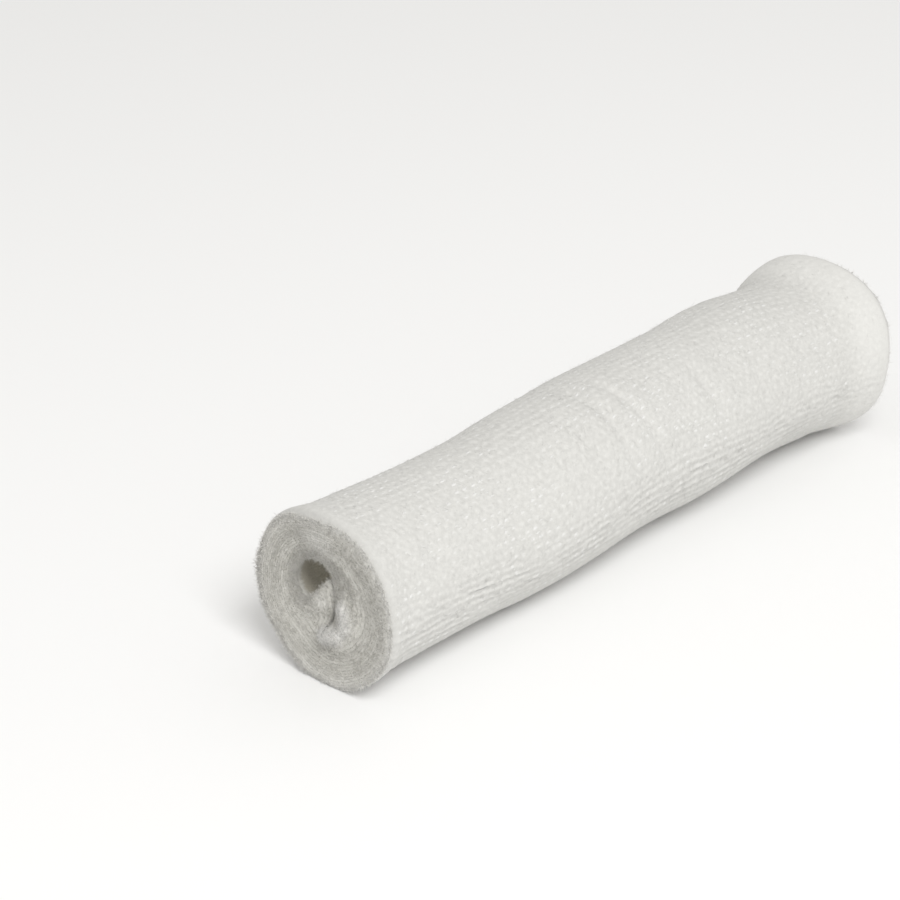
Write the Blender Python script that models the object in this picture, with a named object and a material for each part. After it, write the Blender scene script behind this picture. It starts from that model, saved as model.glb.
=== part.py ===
"""Gauze bandage roll.

One wide stretch-gauze bandage, wound tightly without a core and lying on its side.
The wound cloth is one solid: an uneven, slightly waisted roll with a soft rounded rim at
each end, dished ends, a blind hollow where the winding starts and a flat foot below.

Frame: the roll lies along X with its neat end at -X and its flared end at +X, +Z is up,
and the origin is on the resting surface, under the middle of the roll. Units are metres.
"""

import math

import bmesh
import bpy
import numpy as np

MM = 0.001

# Driving dimensions
LENGTH = 150.0 * MM            # width of the bandage, so length of the roll
MIDDLE = -0.8 * MM             # where the middle of that width lies, along X
RIM_DEPTH = 2.4 * MM           # rounding of the rims, measured along the roll
RIM_ROUND = 2.0 * MM           # rounding of the rims, measured across the roll
DISH_DEPTH = 1.8 * MM          # how far the inner turns stand back from the rim
DISH_CURVE = 1.4               # power of the dish's curve from its rim to its middle
HOLLOW_DEPTH = 16.0 * MM       # depth of the hollow in the middle of each end
HOLLOW_SHARE = 0.24            # radius of the hollow's mouth as a share of the roll's
FOOT_DEPTH = 0.5 * MM          # how much the underside is pressed flat
SAG_ANGLE = math.radians(26.0) # half width of the sagging underside
STEPS_ROUND = 60               # facets round the roll
BLANK_RADIUS = 18.0 * MM       # radius of the turned blank before it is made uneven

# Uneven sections along the roll, in millimetres: distance from the middle, radius,
# sideways drift of the centre and height of the centre.
SECTION_COLUMNS = ("station", "radius", "drift", "height")
SECTIONS = (
    (-75.0, 18.30, 0.00, 17.50),
    (-70.0, 17.20, 0.00, 17.48),
    (-62.0, 16.75, -0.10, 17.45),
    (-50.0, 16.50, -0.35, 17.27),
    (-40.0, 16.60, -0.50, 17.18),
    (-30.0, 17.00, -0.65, 17.10),
    (-20.0, 17.45, -0.47, 17.45),
    (-10.0, 17.50, -0.19, 17.91),
    (0.0, 17.45, 0.22, 18.50),
    (10.0, 17.40, 0.35, 18.80),
    (20.0, 17.60, 0.25, 18.80),
    (30.0, 17.50, 0.28, 18.94),
    (40.0, 17.50, 0.50, 19.35),
    (48.0, 17.35, 0.55, 19.50),
    (54.0, 17.10, 0.25, 19.17),
    (60.0, 17.10, -0.10, 18.85),
    (64.0, 17.35, -0.10, 18.85),
    (68.0, 18.75, 0.10, 19.15),
    (71.5, 19.50, 0.05, 19.15),
    (75.0, 19.70, 0.00, 19.10),
)

# How far each end's outer turns reach past the middle of the width, in millimetres at
# even angles from straight up towards +Y. The reach fades out along and into the roll.
REACHES = {
    -1: (0.3, 0.1, 0.0, 0.1, 0.4, 0.5, 0.2, 0.0),
    1: (1.0, 0.3, 0.0, 0.2, 0.6, 1.3, 0.6, 2.9),
}
REACH_FADE = 22.0 * MM         # length of the roll over which the reach fades out
REACH_TURNS = 0.75             # share of the radius inside which no turn reaches out

# Low waves that run round and along the outer turn: waves round the roll, length of one
# wave along it in millimetres, phase in radians and height in millimetres.
WAVES = (
    (2, 210.0, 0.6, 0.16),
    (3, -95.0, 2.1, 0.12),
    (5, 64.0, 4.0, 0.08),
    (7, -41.0, 1.3, 0.05),
)

# Place of the hollow in each end, in millimetres from the section's centre, and its
# outline as radii in millimetres at even angles, from straight up towards +Y.
HOLLOWS = {
    -1: {"y": 3.8, "z": 2.4, "radii": (4.6, 4.6, 4.7, 4.9, 3.1, 2.3, 2.6, 4.9)},
    1: {"y": -2.4, "z": 2.0, "radii": (3.8, 4.4, 4.0, 3.3, 3.6, 4.3, 4.1, 3.5)},
}

# Twists of the first, crumpled turns that show in the ends: which end, place in
# millimetres from the section's centre, spread, and rise out of the end (a fold is below 0).
TWIST_COLUMNS = ("end", "y", "z", "spread", "rise")
TWISTS = (
    (-1, -4.6, -0.6, 2.1, 1.4),
    (-1, -5.2, -3.8, 2.1, 1.3),
    (-1, -3.0, -6.6, 2.1, 1.5),
    (-1, -0.2, -7.6, 1.8, 1.4),
    (-1, 1.6, -1.2, 2.4, 0.7),
    (-1, 1.0, 12.0, 5.5, 0.7),
    (-1, -9.8, 0.5, 3.2, -0.3),
    (-1, -0.7, -4.2, 1.6, -0.8),
    (1, 4.4, -1.0, 2.4, 0.9),
    (1, 0.8, -4.2, 1.8, -1.0),
    (1, -2.8, -6.0, 2.4, 0.8),
)

# Rings of an end, from the bottom of its hollow to its rim.
HOLLOW_FLOOR_SHARE = 0.6       # floor radius as a share of the hollow's mouth
FLOOR_RINGS = ((1.0, 0.0), (0.98, 0.7), (0.9, 1.0))  # shares of its depth and floor radius
MOUTH_STEP = 0.5 * MM          # how far the hollow's mouth lies behind the dish
HOLLOW_RINGS = 3
HOLLOW_CURVE = 0.6             # power by which the hollow widens towards its mouth
FACE_RINGS = 7
ROUND_RINGS = 4
WALL_RINGS = 46
WALL_CROWDING = 0.35           # how much the wall's rings crowd towards the ends

MERGE_DISTANCE = 0.01 * MM     # points nearer than this after the spin are joined
SHARP_ANGLE = math.radians(50.0)

CLOTH_COLOUR = (0.86, 0.85, 0.82, 1.0)
CLOTH_ROUGHNESS = 0.95


def column(table, names, name):
    """One named column of a table as an array, in the table's own units."""
    return np.array([row[names.index(name)] for row in table], dtype=float)


def smooth_through(knots, values, at):
    """Value at each place of a curve that passes smoothly through the given values.

    Each stretch is a cubic whose end slopes are those of the chords beside it.
    """
    slopes = np.gradient(values, knots)
    index = np.clip(np.searchsorted(knots, at, side="right") - 1, 0, len(knots) - 2)
    span = knots[index + 1] - knots[index]
    t = np.clip((at - knots[index]) / span, 0.0, 1.0)
    start = (1 + 2 * t) * (1 - t) ** 2 * values[index]
    start_slope = t * (1 - t) ** 2 * span * slopes[index]
    end = t * t * (3 - 2 * t) * values[index + 1]
    end_slope = t * t * (t - 1) * span * slopes[index + 1]
    return start + start_slope + end + end_slope


def section(name, x):
    """A section's radius, drift or height, in metres, at the places x along the roll."""
    stations = column(SECTIONS, SECTION_COLUMNS, "station")
    return smooth_through(stations, column(SECTIONS, SECTION_COLUMNS, name), x / MM) * MM


def waves(x, angle):
    """Height of the low waves of the outer turn, as a sum of slanting cosines."""
    height = np.zeros_like(x)
    for count, length, phase, amplitude in WAVES:
        turn = count * angle + math.tau * x / (length * MM) + phase
        height = height + amplitude * MM * np.cos(turn)
    return height


def around(values, angle):
    """Length at each angle, smooth round the roll through evenly spaced values."""
    place = np.mod(angle, math.tau) / math.tau * len(values)
    knots = np.arange(-1.0, len(values) + 2.0)
    ring = np.array([values[int(knot) % len(values)] for knot in knots])
    return smooth_through(knots, ring, place) * MM


def reach(x, share, angle):
    """How far a point moves along the roll because its turn reaches past the width."""
    along = np.clip(1.0 - (LENGTH / 2 - np.abs(x)) / REACH_FADE, 0.0, 1.0)
    outward = np.clip((share - REACH_TURNS) / (1.0 - REACH_TURNS), 0.0, 1.0)
    near, far = around(REACHES[-1], angle), around(REACHES[1], angle)
    return np.where(x < 0, -near, far) * along ** 2 * outward ** 2


def end_profile():
    """Profile of one end: (depth behind the end, share of the blank's radius) pairs."""
    floor = HOLLOW_SHARE * HOLLOW_FLOOR_SHARE
    points = [(HOLLOW_DEPTH * depth, floor * radius) for depth, radius in FLOOR_RINGS]
    floor_depth = points[-1][0]
    mouth_depth = DISH_DEPTH + MOUTH_STEP
    for ring in range(1, HOLLOW_RINGS + 1):
        share = ring / HOLLOW_RINGS
        depth = floor_depth + (mouth_depth - floor_depth) * share
        points.append((depth, floor + (HOLLOW_SHARE - floor) * share ** HOLLOW_CURVE))
    round_share = 1.0 - RIM_ROUND / BLANK_RADIUS
    for ring in range(1, FACE_RINGS + 1):
        share = ring / FACE_RINGS
        depth = DISH_DEPTH * (1.0 - share) ** DISH_CURVE
        points.append((depth, HOLLOW_SHARE + (round_share - HOLLOW_SHARE) * share))
    for ring in range(1, ROUND_RINGS + 1):
        turn = math.pi / 2 * ring / ROUND_RINGS
        depth = RIM_DEPTH * (1.0 - math.cos(turn))
        points.append((depth, round_share + RIM_ROUND / BLANK_RADIUS * math.sin(turn)))
    return points


def blank_profile():
    """Whole profile from the bottom of one hollow, over the outer turn, to the other's."""
    near = [(-LENGTH / 2 + depth, share) for depth, share in end_profile()]
    far = [(LENGTH / 2 - depth, share) for depth, share in reversed(end_profile())]
    even = np.linspace(-1.0, 1.0, WALL_RINGS + 2)[1:-1]
    crowded = even + WALL_CROWDING * np.sin(math.pi * even) / math.pi
    wall = [(x * (LENGTH / 2 - RIM_DEPTH), 1.0) for x in crowded]
    return near + wall + far


def twists(end, y, z):
    """Rise of an end's face at each place, as a sum of round bumps and dents."""
    rise = np.zeros_like(y)
    for row in TWISTS:
        form = dict(zip(TWIST_COLUMNS, row))
        square = (y / MM - form["y"]) ** 2 + (z / MM - form["z"]) ** 2
        bump = form["rise"] * MM * np.exp(-square / form["spread"] ** 2)
        rise = rise + np.where(end == form["end"], bump, 0.0)
    return rise


def settle(blank):
    """Places of the blank's points on the real, uneven roll, as it lies.

    A point outside the hollow lies between the hollow's mouth and the outer turn, by its
    share of the blank's radius. A point inside it shrinks the mouth's outline. The
    underside sags to the surface and is pressed flat there.
    """
    x = blank[:, 0]
    share = np.hypot(blank[:, 1], blank[:, 2]) / BLANK_RADIUS
    angle = np.arctan2(blank[:, 1], blank[:, 2])
    sine, cosine = np.sin(angle), np.cos(angle)

    outer = section("radius", x) + waves(x, angle)
    outer_y, outer_z = outer * sine, outer * cosine

    from_down = math.pi - np.abs(angle)
    lift = section("height", x) - outer + FOOT_DEPTH
    outer_z = outer_z - np.maximum(lift, 0.0) * np.exp(-((from_down / SAG_ANGLE) ** 2))

    near, far = HOLLOWS[-1], HOLLOWS[1]
    mouth = np.where(x < 0, around(near["radii"], angle), around(far["radii"], angle))
    inward = np.clip(share / HOLLOW_SHARE, 0.0, 1.0)
    inner_y = np.where(x < 0, near["y"], far["y"]) * MM + mouth * sine * inward
    inner_z = np.where(x < 0, near["z"], far["z"]) * MM + mouth * cosine * inward

    outward = np.clip((share - HOLLOW_SHARE) / (1.0 - HOLLOW_SHARE), 0.0, 1.0)
    y = inner_y * (1.0 - outward) + outer_y * outward
    z = inner_z * (1.0 - outward) + outer_z * outward
    end = np.sign(x)
    moved = MIDDLE + x + reach(x, share, angle) + end * twists(end, y, z)
    y = y + section("drift", x)
    z = z + section("height", x)
    return np.column_stack((moved, y, np.maximum(z, 0.0)))


def make_material():
    """Soft bleached white cotton gauze."""
    material = bpy.data.materials.new("gauze")
    material.use_nodes = True
    shader = material.node_tree.nodes["Principled BSDF"]
    shader.inputs["Base Color"].default_value = CLOTH_COLOUR
    shader.inputs["Roughness"].default_value = CLOTH_ROUGHNESS
    shader.inputs["Metallic"].default_value = 0.0
    material.diffuse_color = CLOTH_COLOUR
    return material


def make_roll(collection):
    """The wound roll: its profile is spun round X, and the blank is then made uneven."""
    mesh = bpy.data.meshes.new("bandage_roll")
    shape = bmesh.new()
    profile = [shape.verts.new((x, 0.0, share * BLANK_RADIUS)) for x, share in blank_profile()]
    edges = [shape.edges.new(pair) for pair in zip(profile, profile[1:])]
    bmesh.ops.spin(
        shape,
        geom=profile + edges,
        cent=(0.0, 0.0, 0.0),
        axis=(1.0, 0.0, 0.0),
        dvec=(0.0, 0.0, 0.0),
        angle=math.tau,
        steps=STEPS_ROUND,
    )
    bmesh.ops.remove_doubles(shape, verts=shape.verts, dist=MERGE_DISTANCE)
    bmesh.ops.recalc_face_normals(shape, faces=shape.faces)
    shape.to_mesh(mesh)
    shape.free()

    blank = np.empty(len(mesh.vertices) * 3)
    mesh.vertices.foreach_get("co", blank)
    mesh.vertices.foreach_set("co", settle(blank.reshape(-1, 3)).ravel())
    mesh.shade_smooth()
    mesh.set_sharp_from_angle(angle=SHARP_ANGLE)
    mesh.materials.append(make_material())

    roll = bpy.data.objects.new("bandage_roll", mesh)
    collection.objects.link(roll)
    return roll


def main():
    for old in list(bpy.data.objects):
        bpy.data.objects.remove(old, do_unlink=True)
    collection = bpy.data.collections.new("gauze_bandage_roll")
    bpy.context.scene.collection.children.link(collection)
    make_roll(collection)


main()
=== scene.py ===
"""Looks of the gauze bandage roll.

The roll is one long strip of stretch gauze, wound turn upon turn round a crumpled start.
Its knit is real yarn: rows of crinkled yarn along the roll whose crests show as short
bright stitches, partly by a painted highlight, finer yarns round the roll that bind them,
and loose fibres that stand off the wound edges and the outer turn.

Lengths are millimetres until place() makes points of them in metres. x runs along the
roll from the middle of its width, and angles go round it from straight up towards +Y. An
end is -1 for the neat one and 1 for the flared one.
"""

import math

import bpy
import numpy as np
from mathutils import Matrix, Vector


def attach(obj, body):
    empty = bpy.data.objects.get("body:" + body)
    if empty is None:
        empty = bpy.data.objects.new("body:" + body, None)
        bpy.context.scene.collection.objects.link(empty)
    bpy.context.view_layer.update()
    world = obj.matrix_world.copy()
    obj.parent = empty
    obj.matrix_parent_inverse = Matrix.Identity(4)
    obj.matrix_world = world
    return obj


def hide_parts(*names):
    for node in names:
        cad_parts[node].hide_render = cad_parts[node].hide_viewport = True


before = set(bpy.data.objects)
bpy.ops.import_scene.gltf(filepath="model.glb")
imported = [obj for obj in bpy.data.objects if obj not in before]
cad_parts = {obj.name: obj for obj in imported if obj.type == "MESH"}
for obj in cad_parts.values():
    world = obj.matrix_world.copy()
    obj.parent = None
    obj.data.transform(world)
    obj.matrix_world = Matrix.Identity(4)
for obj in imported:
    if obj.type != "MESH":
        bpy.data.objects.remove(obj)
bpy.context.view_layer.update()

MM = 0.001
ROLL_NODE = "bandage_roll"

# ---- Sizes of the wound form ---------------------------------------------------------
# They are the solid's, with finer lumps, creases and ridges than it needs.

WIDTH = 150.0             # width of the bandage, so length of the roll
MIDDLE = -0.8             # where the middle of that width lies, along the roll
RIM_DEPTH = 2.4           # rounding of the rims, measured along the roll
RIM_ROUND = 2.0           # rounding of the rims, measured across the roll
DISH_DEPTH = 1.8          # how far the inner turns stand back from the rim
DISH_CURVE = 1.4          # power of the dish's curve from its rim to its middle
FOOT_DEPTH = 0.5          # how much the underside is pressed flat
SAG_ANGLE = math.radians(26.0)    # how far round from straight down the sag goes
MEAN_RADIUS = 18.0        # of the whole roll

# Sections along the roll: radius, and where the centre lies.
SECTION_COLUMNS = ("station", "radius", "drift", "height")
SECTIONS = (
    (-75.0, 18.30, 0.00, 17.50),
    (-70.0, 17.20, 0.00, 17.48),
    (-62.0, 16.75, -0.10, 17.45),
    (-50.0, 16.50, -0.35, 17.27),
    (-40.0, 16.60, -0.50, 17.18),
    (-30.0, 17.00, -0.65, 17.10),
    (-20.0, 17.45, -0.47, 17.45),
    (-10.0, 17.50, -0.19, 17.91),
    (0.0, 17.45, 0.22, 18.50),
    (10.0, 17.40, 0.35, 18.80),
    (20.0, 17.60, 0.25, 18.80),
    (30.0, 17.50, 0.28, 18.94),
    (40.0, 17.50, 0.50, 19.35),
    (48.0, 17.35, 0.55, 19.50),
    (54.0, 17.10, 0.25, 19.17),
    (60.0, 17.10, -0.10, 18.85),
    (64.0, 17.35, -0.10, 18.85),
    (68.0, 18.75, 0.10, 19.15),
    (71.5, 19.50, 0.05, 19.15),
    (75.0, 19.70, 0.00, 19.10),
)

# How far the outer turns reach past the width at each end, at even angles round it.
REACHES = {
    -1: (0.3, 0.1, 0.0, 0.1, 0.4, 0.5, 0.2, 0.0),
    1: (1.0, 0.3, 0.0, 0.2, 0.6, 1.3, 0.6, 2.9),
}
REACH_FADE = 22.0         # how far in from an end the reach has died away
REACH_TURNS = 0.75        # share of the winding from which on the turns reach out

# Waves: how many round the roll, their length along it, their phase and height.
WAVE_COLUMNS = ("count", "length", "phase", "height")
WAVES = (
    (2, 210.0, 0.6, 0.16),
    (3, -95.0, 2.1, 0.12),
    (5, 64.0, 4.0, 0.08),
    (7, -41.0, 1.3, 0.05),
)

# Soft creases of the outer turns. They run round the roll: place along it in the middle of
# each, slant in mm for each radian, half width, height (a trough is below 0), angle of the
# middle and half length, in radians.
CREASE_COLUMNS = ("station", "slant", "width", "height", "middle", "spread")
CREASES = (
    (-6.3, -1.7, 1.3, -0.56, -0.52, 0.75),
    (-11.6, -1.7, 2.6, 0.34, -0.30, 0.60),
    (-3.2, -2.0, 1.4, 0.26, -0.30, 0.60),
    (1.6, -4.1, 1.2, -0.58, -0.70, 0.85),
    (4.2, -4.0, 1.4, 0.26, -0.80, 0.90),
    (21.2, -2.9, 1.5, -0.60, -0.90, 0.42),
    (24.6, -2.9, 2.2, 0.24, -0.60, 0.60),
    (36.0, 0.0, 1.3, -0.32, -1.00, 0.35),
    (-14.0, -1.0, 1.3, -0.26, -0.90, 0.35),
    (14.0, -1.0, 1.5, -0.24, -0.50, 0.60),
    (50.0, -0.5, 1.6, -0.24, -0.80, 0.50),
    (57.0, 0.0, 1.5, -0.24, -1.20, 0.35),
    (61.5, 0.0, 1.6, -0.22, -1.10, 0.50),
    (-60.5, 0.0, 1.8, -0.22, -1.00, 0.30),
    (-67.5, 0.6, 3.0, -0.24, -1.20, 0.40),
    (-69.0, 0.0, 2.6, 0.22, -0.20, 0.50),
    (-65.0, 0.0, 2.0, 0.26, -1.75, 0.30),
    (12.0, 2.2, 1.4, -0.45, 2.10, 0.90),
    (-41.0, -2.0, 1.6, -0.40, 2.50, 0.80),
    (47.0, 1.5, 1.5, -0.40, 1.60, 0.80),
)
CREASED_TURNS = 3.0       # how many turns deep the creases reach

# Where the rows of the knit stand up as ridges: angle, spread and strength.
RIDGED_BANDS = (
    (math.radians(-103.0), math.radians(20.0), 1.0),
    (math.radians(-8.0), math.radians(18.0), 0.35),
    (math.radians(120.0), math.radians(30.0), 0.6),
)
# Waves that make them stand up more and less in patches.
RIDGED_PATCHES = (
    (1, 83.0, 0.9, 0.20),
    (3, -37.0, 2.2, 0.20),
    (6, 21.0, 4.0, 0.20),
    (10, 11.0, 1.1, 0.14),
    (23, -7.0, 5.0, 0.10),
)
RIDGES_FADE = (46.0, 60.0)        # between these places the ridges get lower
RIDGES_LOST = 0.45        # by this share
ROW_RIDGE = 0.12          # height of each row's ridge
PAIR_RIDGE = 0.07         # how much every second row stands higher, at the neat end

# Soft lumps and dents of the end faces, placed from the section's centre.
TWIST_COLUMNS = ("end", "y", "z", "spread", "rise")
TWISTS = (
    (-1, -4.6, -0.6, 2.1, 1.4),
    (-1, -5.2, -3.8, 2.1, 1.3),
    (-1, -3.0, -6.6, 2.1, 1.5),
    (-1, -0.2, -7.4, 1.9, 1.7),
    (-1, 1.6, -1.2, 2.4, 0.7),
    (-1, 1.0, 12.0, 5.5, 0.85),
    (-1, -9.8, 0.5, 3.2, -0.3),
    (-1, -2.6, 0.8, 1.0, -0.2),
    (-1, -1.7, -1.8, 1.1, -0.2),
    (-1, -0.7, -4.2, 1.2, -0.45),
    (-1, 1.6, -5.6, 1.3, -0.35),
    (1, 4.4, -1.0, 2.4, 0.9),
    (1, 0.8, -4.2, 1.8, -1.0),
    (1, -2.8, -6.0, 2.4, 0.8),
)

# ---- Sizes of the winding ------------------------------------------------------------

TURNS = 21.0
START_SHARE = 0.36        # mean radius of the first turn as a share of the roll's
KINK_SHARE = 0.28         # share of the winding over which the crumpled start rounds out
KINK_FALL = 1.5           # and how suddenly it does
START_CHANGE = 55.0       # from minus to plus this place, one end's outline becomes the other's
FILL = 0.995              # cloth thickness as a share of the room each turn has
PRESSED_ROOM = 0.9        # share of that room which the turns keep above the flat foot
OUTER_END = math.radians(152.0)   # where the strip's end lies, from straight up towards +Y
INNER_STEPS = 60          # columns in each inner turn
OUTER_STEPS = 236         # columns in the outer turn
UNDERLAP = 0.06           # how far the finely made outer turn runs on below itself
EDGE_ROUND = 0.08         # rounding of the strip's edges
EDGE_LEAN = 0.85          # how far each cut edge leans with the slope of the end it is part of
EDGE_BACK = 0.8           # how far the outermost turn's edge stands back
TURN_JITTER = 0.015       # unevenness of the turns' edges along the roll
JITTER_SINES = (          # for each turn, for each end, phase and share
    (8.3, 1.0, 0.0, 1.0),
    (3.1, 2.0, 0.0, 0.8),
    (19.7, 0.0, 0.5, 0.7),
    (5.3, 0.0, 4.0, 0.6),
)
MOUTH_BACK = 0.3          # how far the first turn's edge stands back round the hollow
MOUTH_TURNS = 1.3         # and how many turns stand back there
RIM_FLUFF_AND_LIGHT_DEPTH = 4.0        # how far in from an end the rim gets the lighter fluff and painted light
PROBE_LENGTH = 0.02       # steps along and round the roll that measure the skin's slope
PROBE_ANGLE = 0.002

# Outlines of the crumpled start at either end: angle of the winding in degrees, and place
# from the section's centre.
START_COLUMNS = ("angle", "y", "z")
NEAT_START = (
    (15.0, 4.0, 7.2),
    (38.0, 6.4, 6.1),
    (60.0, 8.0, 3.6),
    (80.0, 8.5, 0.8),
    (98.0, 7.5, -1.4),
    (112.0, 5.8, -2.4),
    (124.0, 3.5, -0.6),
    (134.0, 1.6, 1.9),
    (143.0, -0.2, 3.9),
    (151.0, -1.25, 2.4),
    (158.0, -1.6, 0.4),
    (164.0, -1.75, -1.0),
    (172.0, -1.1, -3.3),
    (179.0, 0.1, -5.4),
    (186.0, 1.4, -6.4),
    (193.0, 3.1, -6.9),
    (201.0, 2.6, -7.3),
    (212.0, 0.7, -6.6),
    (226.0, -0.8, -4.6),
    (243.0, -1.5, -2.2),
    (262.0, -1.7, -0.6),
    (282.0, -1.35, 1.0),
    (305.0, -1.1, 3.2),
    (328.0, -0.7, 5.2),
    (348.0, 1.0, 6.9),
)
FLARED_START = (
    (0.0, -2.0, 6.2),
    (40.0, 1.4, 5.0),
    (75.0, 2.6, 2.2),
    (100.0, 4.6, 0.4),
    (125.0, 3.6, -1.0),
    (150.0, 1.4, -0.4),
    (175.0, 0.2, -2.6),
    (195.0, -1.2, -3.4),
    (215.0, -2.2, -1.6),
    (245.0, -4.6, -1.2),
    (275.0, -6.2, 1.0),
    (305.0, -6.0, 3.6),
    (335.0, -4.4, 5.6),
)

# ---- Sizes of the knit ---------------------------------------------------------------

ROWS = 60                 # rows of stitches round the roll
STITCHES = 73             # stitches in each row
STITCH_PITCH = 2.05       # distance between two stitches of a row
KNIT_CLEARANCE = 0.9      # how near an edge the knit may come

# The two yarns that run along the roll. A pair holds the value between two stitches and
# the value at a stitch, and strength is that of the weakest stitches.
STITCH_YARN = {
    "steps": 5,
    "sides": 5,
    "strength": 0.15,
    "lift": (-0.15, -0.05),
    "width": (0.24, 0.36),
    "height": (0.12, 0.14),
}
FINER_YARN = {
    "steps": 4,
    "sides": 3,
    "strength": 0.1,
    "lift": (-0.12, -0.03),
    "width": (0.16, 0.30),
    "height": (0.10, 0.13),
}
ROW_SWING = 0.10          # sideways wriggle of such a yarn
SWING_PHASE = 0.6
STITCH_STRAY = 0.11       # how far a stitch may lie beside its even place
SPARE_STITCHES = 3        # past a row's last, for the rows that are staggered
# Waves that make patches of stronger and weaker stitches.
STITCH_PATCHES = (
    (2, 47.0, 0.9, 0.22),
    (5, -29.0, 4.4, 0.20),
    (11, 17.0, 2.1, 0.16),
)
PATCH_MIDDLE = 0.8        # height of a stitch between the strong and the weak patches
RIDGED_CREST = 0.45       # how far a ridged row stays up between its stitches
RIDGED_WIDTH = 0.22       # how much wider and lower it is
RIDGED_LOWER = 0.05
RIDGED_SINK = 0.04        # how much deeper it lies in the cloth
RIDGED_ODD = 0.6          # how much less of this the odd rows have at the neat end

BINDER_STEPS = 2          # points for each row of the yarns that bind the rows
BINDER_SIDES = 3
BINDER_SWING = 0.25       # their zigzag, in stitches
BINDER_STRENGTH = (0.4, 1.0)      # weakest and strongest of their rises
BINDER_HALF_WIDTH = 0.15
BINDER_HALF_HEIGHT = 0.10
BINDER_LIFT = (-0.18, -0.06)
BINDER_CREST_HIGHLIGHT = 0.25       # how much painted highlight their crests get beside those of the stitches
NEAT_SELVAGE = (0.78, 2.6)        # the stitches fade in this far from the neat edge
FLARED_SELVAGE = (4.9, 14.0)      # and from the flared one
ROW_SLANT = -0.03         # how far the rows slant round the roll for each mm along it
# Waves by which the rows drift round the roll, and the stitches along it.
ROW_DRIFT = (
    (1, 118.0, 0.4, 0.80),
    (2, -71.0, 2.9, 0.42),
    (5, 39.0, 5.1, 0.24),
    (9, -23.0, 1.7, 0.12),
    (16, 13.0, 3.3, 0.07),
)
STITCH_DRIFT = (
    (1, 83.0, 1.4, 0.60),
    (4, -49.0, 3.7, 0.40),
    (7, 31.0, 0.2, 0.22),
    (13, -17.0, 2.6, 0.10),
)


# ---- Tables and smooth curves --------------------------------------------------------


def column(table, names, name):
    """One named column of a table as an array, in the table's own units."""
    return np.array([row[names.index(name)] for row in table], dtype=float)


def named_rows(table, names):
    """The rows of a table as dictionaries, from each column's name to its value."""
    return [dict(zip(names, row)) for row in table]


def smooth_through(knots, values, at):
    """Value at each place of a curve that passes smoothly through the given values.

    Each stretch is a cubic whose end slopes are those of the chords beside it.
    """
    slopes = np.gradient(values, knots)
    index = np.clip(np.searchsorted(knots, at, side="right") - 1, 0, len(knots) - 2)
    span = knots[index + 1] - knots[index]
    t = np.clip((at - knots[index]) / span, 0.0, 1.0)
    start = (1 + 2 * t) * (1 - t) ** 2 * values[index]
    start_slope = t * (1 - t) ** 2 * span * slopes[index]
    end = t * t * (3 - 2 * t) * values[index + 1]
    end_slope = t * t * (t - 1) * span * slopes[index + 1]
    return start + start_slope + end + end_slope


def round_trip(angles, values, at):
    """The same for values given at angles round the roll, closed after a full turn."""
    knots = np.concatenate((angles[-2:] - math.tau, angles, angles[:2] + math.tau))
    ring = np.concatenate((values[-2:], values, values[:2]))
    return smooth_through(knots, ring, np.mod(at, math.tau))


def unit(vectors):
    """Vectors of the same directions with a length of one."""
    return vectors / np.linalg.norm(vectors, axis=-1, keepdims=True)


def fade(start, end, at):
    """Smooth step from 0 at start to 1 at end."""
    t = np.clip((at - start) / (end - start), 0.0, 1.0)
    return t * t * (3.0 - 2.0 * t)


def waves(table, x, angle):
    """Sum of slanting cosines: waves round the roll, their length along it, and height."""
    total = np.zeros(np.broadcast(x, angle).shape)
    for wave in named_rows(table, WAVE_COLUMNS):
        turn = wave["count"] * angle + math.tau * x / wave["length"] + wave["phase"]
        total = total + wave["height"] * np.cos(turn)
    return total


# ---- The wound form ------------------------------------------------------------------


def section(name, x):
    """A section's radius, drift or height at the places x along the roll."""
    places = column(SECTIONS, SECTION_COLUMNS, "station")
    return smooth_through(places, column(SECTIONS, SECTION_COLUMNS, name), x)


def knit_counts(x, angle):
    """The stitch and row counts at a place: knit_place turned round, by coming closer to
    the answer three times."""
    even_x, even_angle = x, angle
    for _ in range(3):
        drift = waves(STITCH_DRIFT, even_x, even_angle)
        turn = waves(ROW_DRIFT, even_x, even_angle) / MEAN_RADIUS
        even_x, even_angle = x - drift, angle - turn - ROW_SLANT * x / MEAN_RADIUS
    return even_x / STITCH_PITCH + STITCHES / 2, even_angle / math.tau * ROWS


def turned_from(angle, middle):
    """Angle from a middle, between minus and plus half a turn."""
    return np.mod(angle - middle + math.pi, math.tau) - math.pi


def ridged(x, angle):
    """From 0 to 1, how much the rows of the knit stand up as ridges."""
    band = np.zeros(np.broadcast(x, angle).shape)
    for middle, spread, strength in RIDGED_BANDS:
        band = band + strength * np.exp(-((turned_from(angle, middle) / spread) ** 2))
    band = band * (1.0 - RIDGES_LOST * fade(*RIDGES_FADE, x))
    return np.clip(band * (1.0 + waves(RIDGED_PATCHES, x, angle)), 0.0, 1.0)


def paired(x):
    """How unlike the odd rows are to the even ones: 1 at the neat end, 0 at the other."""
    return 0.5 - x / WIDTH


def creases(x, angle):
    """Height of the soft creases and of the ridged rows.

    A crease is a bell curve across, and a longer one along. The ridges are cos(2 pi row),
    with cos(pi row) added where every second row stands higher.
    """
    height = np.zeros(np.broadcast(x, angle).shape)
    for crease in named_rows(CREASES, CREASE_COLUMNS):
        away = turned_from(angle, crease["middle"])
        beside = (x - crease["station"] - crease["slant"] * away) / crease["width"]
        length = (away / crease["spread"]) ** 2
        height = height + crease["height"] * np.exp(-beside ** 2 - length)
    _, row = knit_counts(x, angle)
    ridges = ROW_RIDGE * np.cos(math.tau * row) + PAIR_RIDGE * paired(x) * np.cos(math.pi * row)
    return height + ridged(x, angle) * ridges


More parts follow.
